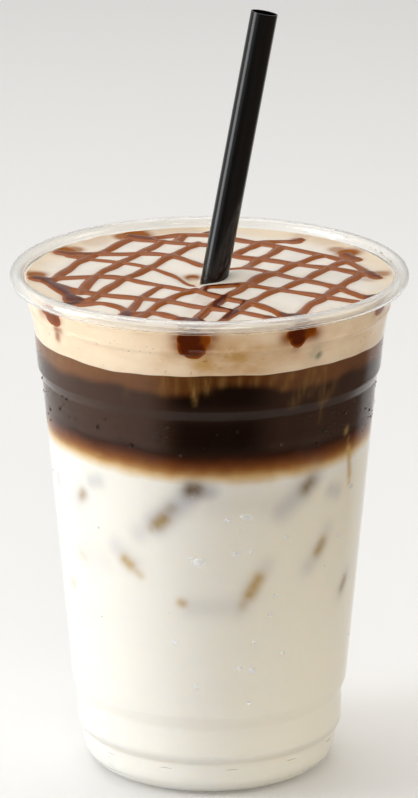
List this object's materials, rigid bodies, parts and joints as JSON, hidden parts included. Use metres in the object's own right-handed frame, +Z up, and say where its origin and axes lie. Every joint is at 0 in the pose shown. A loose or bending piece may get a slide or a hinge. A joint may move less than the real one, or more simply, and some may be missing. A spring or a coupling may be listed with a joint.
{
  "type": "iced coffee",
  "caption": "Tall clear plastic cup with curled rim, filled with layers of milk, dark coffee and foam crossed by sauce lines, with a leaning drinking straw.",
  "frame": {"origin": "middle of the foot ring, on the plane the cup stands on", "axes": "+Z up along the cup's axis; the front of the cup faces -Y; the straw leans towards +X and a little towards +Y"},
  "size_m": [0.098, 0.098, 0.1913],
  "materials": {
    "clear_plastic": "clear thin moulded plastic, gloss",
    "milk": "milk, wet",
    "coffee": "dark coffee, wet",
    "foam": "fine milk foam, moist",
    "straw": "black, smooth"
  },
  "bodies": {
    "root": {"cup": "clear_plastic", "milk": "milk", "coffee": "coffee", "foam": "foam", "straw": "straw"}
  },
  "joints": []
}
